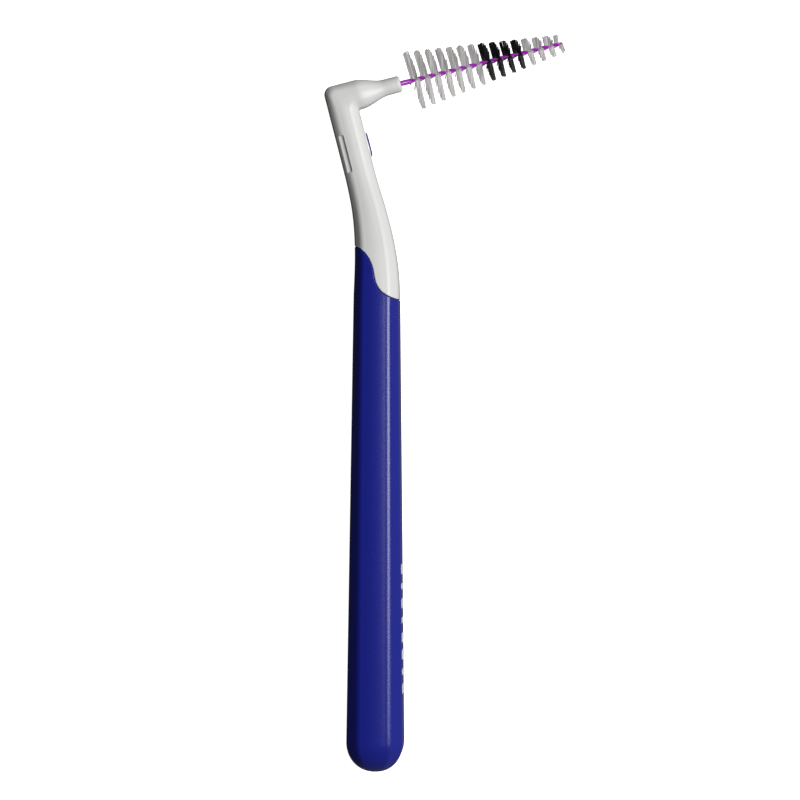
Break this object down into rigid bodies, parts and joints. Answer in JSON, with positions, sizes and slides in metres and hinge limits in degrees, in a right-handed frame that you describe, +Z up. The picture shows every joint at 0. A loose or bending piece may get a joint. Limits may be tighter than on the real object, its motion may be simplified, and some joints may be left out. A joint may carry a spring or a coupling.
{
  "type": "interdental brush",
  "caption": "Angled interdental brush on its side: faceted grip moulded round a bent neck, right-angled head, and a cone of filaments held in a twisted coated wire.",
  "frame": {"origin": "bottom centre of the bounding box, with the brush lying on a side face of its grip", "axes": "+Y along the grip towards the head, +X the way the brush points, +Z up out of the surface it lies on"},
  "size_m": [0.0357, 0.1104, 0.0095],
  "materials": {
    "neck_plastic": "satin moulded white plastic",
    "grip_plastic": "glossy moulded blue plastic",
    "badge_plastic": "glossy blue plastic",
    "steel_wire": "drawn stainless wire",
    "wire_coating": "glossy purple polymer coating",
    "filament_white": "translucent white nylon filament",
    "filament_black": "black nylon filament"
  },
  "bodies": {
    "root": {"neck_core": "neck_plastic", "grip_overmould": "grip_plastic", "size_badge": "badge_plastic", "wire_steel_core": "steel_wire", "wire_coating": "wire_coating", "filament_row_01": "filament_white", "filament_row_02": "filament_white", "filament_row_03": "filament_white", "filament_row_04": "filament_white", "filament_row_05": "filament_white", "filament_row_06": "filament_white", "filament_row_07": "filament_white", "filament_row_08": "filament_black", "filament_row_09": "filament_black", "filament_row_10": "filament_black", "filament_row_11": "filament_black", "filament_row_12": "filament_white", "filament_row_13": "filament_white", "filament_row_14": "filament_white", "filament_row_15": "filament_white"}
  },
  "joints": []
}
